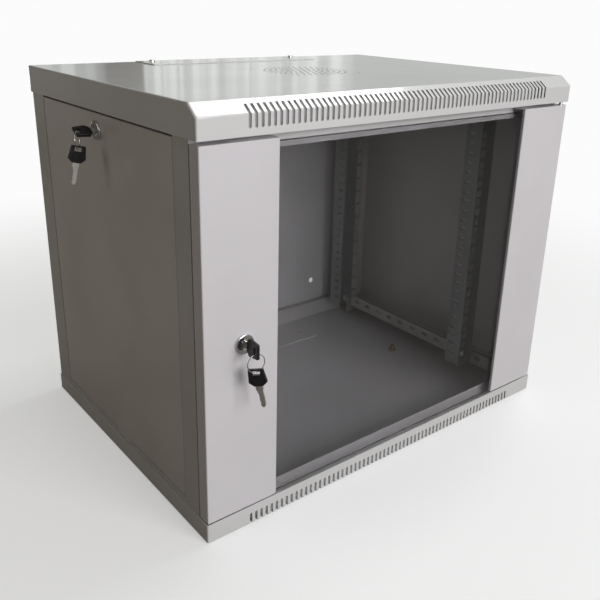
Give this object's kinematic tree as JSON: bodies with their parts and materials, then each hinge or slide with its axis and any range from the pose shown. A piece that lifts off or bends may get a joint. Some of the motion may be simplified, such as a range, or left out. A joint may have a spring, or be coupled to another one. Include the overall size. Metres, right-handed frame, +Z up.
{
  "type": "network server rack cabinet",
  "caption": "Wall or desk cabinet for 19-inch equipment: folded steel case with vent slots, tinted glass door between steel strips, keyed locks and lift-off sides.",
  "frame": {"origin": "centre of the base's underside", "axes": "+Z up, door towards -Y, +X to the right seen from the front"},
  "size_m": [0.6375, 0.4742, 0.4936],
  "materials": {
    "painted_sheet": "light grey powder coat, semi-gloss, very fine orange peel",
    "painted_frame": "light grey powder coat, semi-gloss",
    "zinc_plated_rail": "bright zinc plating, faint spangle",
    "steel_fastener": "zinc plated, turned",
    "earth_brass": "plain",
    "nylon": "moulded nylon",
    "smoked_glass": "grey tinted tempered glass, ground edges",
    "bonding_tape": "black foam tape",
    "lock_chrome": "chrome plated zinc",
    "key_head_plastic": "black moulded, satin",
    "key_nickel": "nickel plated brass, cut edges"
  },
  "bodies": {
    "cabinet": {"top_cover": "painted_sheet", "base_tray": "painted_sheet", "top_cable_plate": "painted_sheet", "base_cable_plate": "painted_sheet", "cable_plate_screws": "steel_fastener", "front_crossbar_top": "painted_frame", "front_crossbar_bottom": "painted_frame", "rear_crossbar_top": "painted_frame", "rear_crossbar_bottom": "painted_frame", "front_post_left": "painted_frame", "front_post_right": "painted_frame", "rear_post_left": "painted_frame", "rear_post_right": "painted_frame", "lower_side_rail_left": "painted_frame", "lower_side_rail_right": "painted_frame", "upper_side_rail_left": "painted_frame", "upper_side_rail_right": "painted_frame", "front_rack_rail_left": "zinc_plated_rail", "front_rack_rail_right": "zinc_plated_rail", "rear_rack_rail_left": "zinc_plated_rail", "rear_rack_rail_right": "zinc_plated_rail", "lower_depth_brackets": "zinc_plated_rail", "upper_depth_brackets": "zinc_plated_rail", "rack_rail_bolts": "steel_fastener", "rear_panel": "painted_sheet", "pan_head_screws": "steel_fastener", "earth_stud": "earth_brass", "hinge_bushes": "nylon"},
    "door": {"door_strip_left": "painted_sheet", "door_strip_right": "painted_sheet", "door_glass": "smoked_glass", "door_glass_tape": "bonding_tape", "hinge_pin_bottom": "steel_fastener", "hinge_pin_bracket": "painted_frame", "hinge_pin_spring": "steel_fastener", "door_lock_body": "lock_chrome", "door_lock_nut": "steel_fastener"},
    "hinge_pin": {"hinge_pin_top": "steel_fastener"},
    "door_lock_core": {"door_lock_plug": "lock_chrome", "door_lock_cam": "steel_fastener", "door_key_head": "key_head_plastic", "door_key_blade": "key_nickel"},
    "door_key_ring": {"door_key_ring": "steel_fastener"},
    "door_spare_key": {"door_spare_key_head": "key_head_plastic", "door_spare_key_blade": "key_nickel"},
    "left_panel": {"side_panel_left": "painted_sheet", "left_lock_body": "lock_chrome", "left_lock_nut": "steel_fastener"},
    "left_lock_core": {"left_lock_plug": "lock_chrome", "left_lock_cam": "steel_fastener", "left_key_head": "key_head_plastic", "left_key_blade": "key_nickel"},
    "left_key_ring": {"left_key_ring": "steel_fastener"},
    "left_spare_key": {"left_spare_key_head": "key_head_plastic", "left_spare_key_blade": "key_nickel"},
    "right_panel": {"side_panel_right": "painted_sheet", "right_lock_body": "lock_chrome", "right_lock_nut": "steel_fastener"},
    "right_lock_core": {"right_lock_plug": "lock_chrome", "right_lock_cam": "steel_fastener"}
  },
  "joints": [
    {"name": "door_swing", "type": "hinge", "parent": "cabinet", "child": "door", "pos_m": [0.291, -0.2135, 0.236], "axis": [0, 0, 1], "range_deg": [0, 180]},
    {"name": "hinge_pin_slide", "type": "slide", "parent": "door", "child": "hinge_pin", "axis": [0, 0, 1], "range_m": [-0.006, 0], "stiffness_N_per_m": 400, "springref_m": 0.004, "deforming": ["hinge_pin_spring"]},
    {"name": "door_lock_turn", "type": "hinge", "parent": "door", "child": "door_lock_core", "pos_m": [-0.248, -0.219, 0.236], "axis": [0, 1, 0], "range_deg": [0, 90]},
    {"name": "door_key_ring_swing", "type": "hinge", "parent": "door_lock_core", "child": "door_key_ring", "pos_m": [-0.248, -0.2416, 0.23235], "axis": [0.9976, -0.0698, 0], "range_deg": [-18, 18]},
    {"name": "door_spare_key_swing", "type": "hinge", "parent": "door_key_ring", "child": "door_spare_key", "pos_m": [-0.248, -0.2416, 0.21155], "axis": [0.6157, -0.788, 0], "range_deg": [-8, 8]},
    {"name": "left_panel_tilt", "type": "hinge", "parent": "cabinet", "child": "left_panel", "pos_m": [-0.2975, 0.0055, 0.032], "axis": [0, -1, 0], "range_deg": [0, 25]},
    {"name": "left_lock_turn", "type": "hinge", "parent": "left_panel", "child": "left_lock_core", "pos_m": [-0.2975, 0.011, 0.433], "axis": [-1, 0, 0], "range_deg": [-67, 23]},
    {"name": "left_key_ring_swing", "type": "hinge", "parent": "left_lock_core", "child": "left_key_ring", "pos_m": [-0.3242, 0.0043, 0.4353], "axis": [0.5878, 0.809, 0], "range_deg": [-8, 8]},
    {"name": "left_spare_key_swing", "type": "hinge", "parent": "left_key_ring", "child": "left_spare_key", "pos_m": [-0.3242, 0.0043, 0.4145], "axis": [1, 0, 0], "range_deg": [-8, 8]},
    {"name": "right_panel_tilt", "type": "hinge", "parent": "cabinet", "child": "right_panel", "pos_m": [0.2975, 0.0055, 0.032], "axis": [0, 1, 0], "range_deg": [0, 25]},
    {"name": "right_lock_turn", "type": "hinge", "parent": "right_panel", "child": "right_lock_core", "pos_m": [0.2975, 0.011, 0.433], "axis": [-1, 0, 0], "range_deg": [-67, 23]}
  ]
}
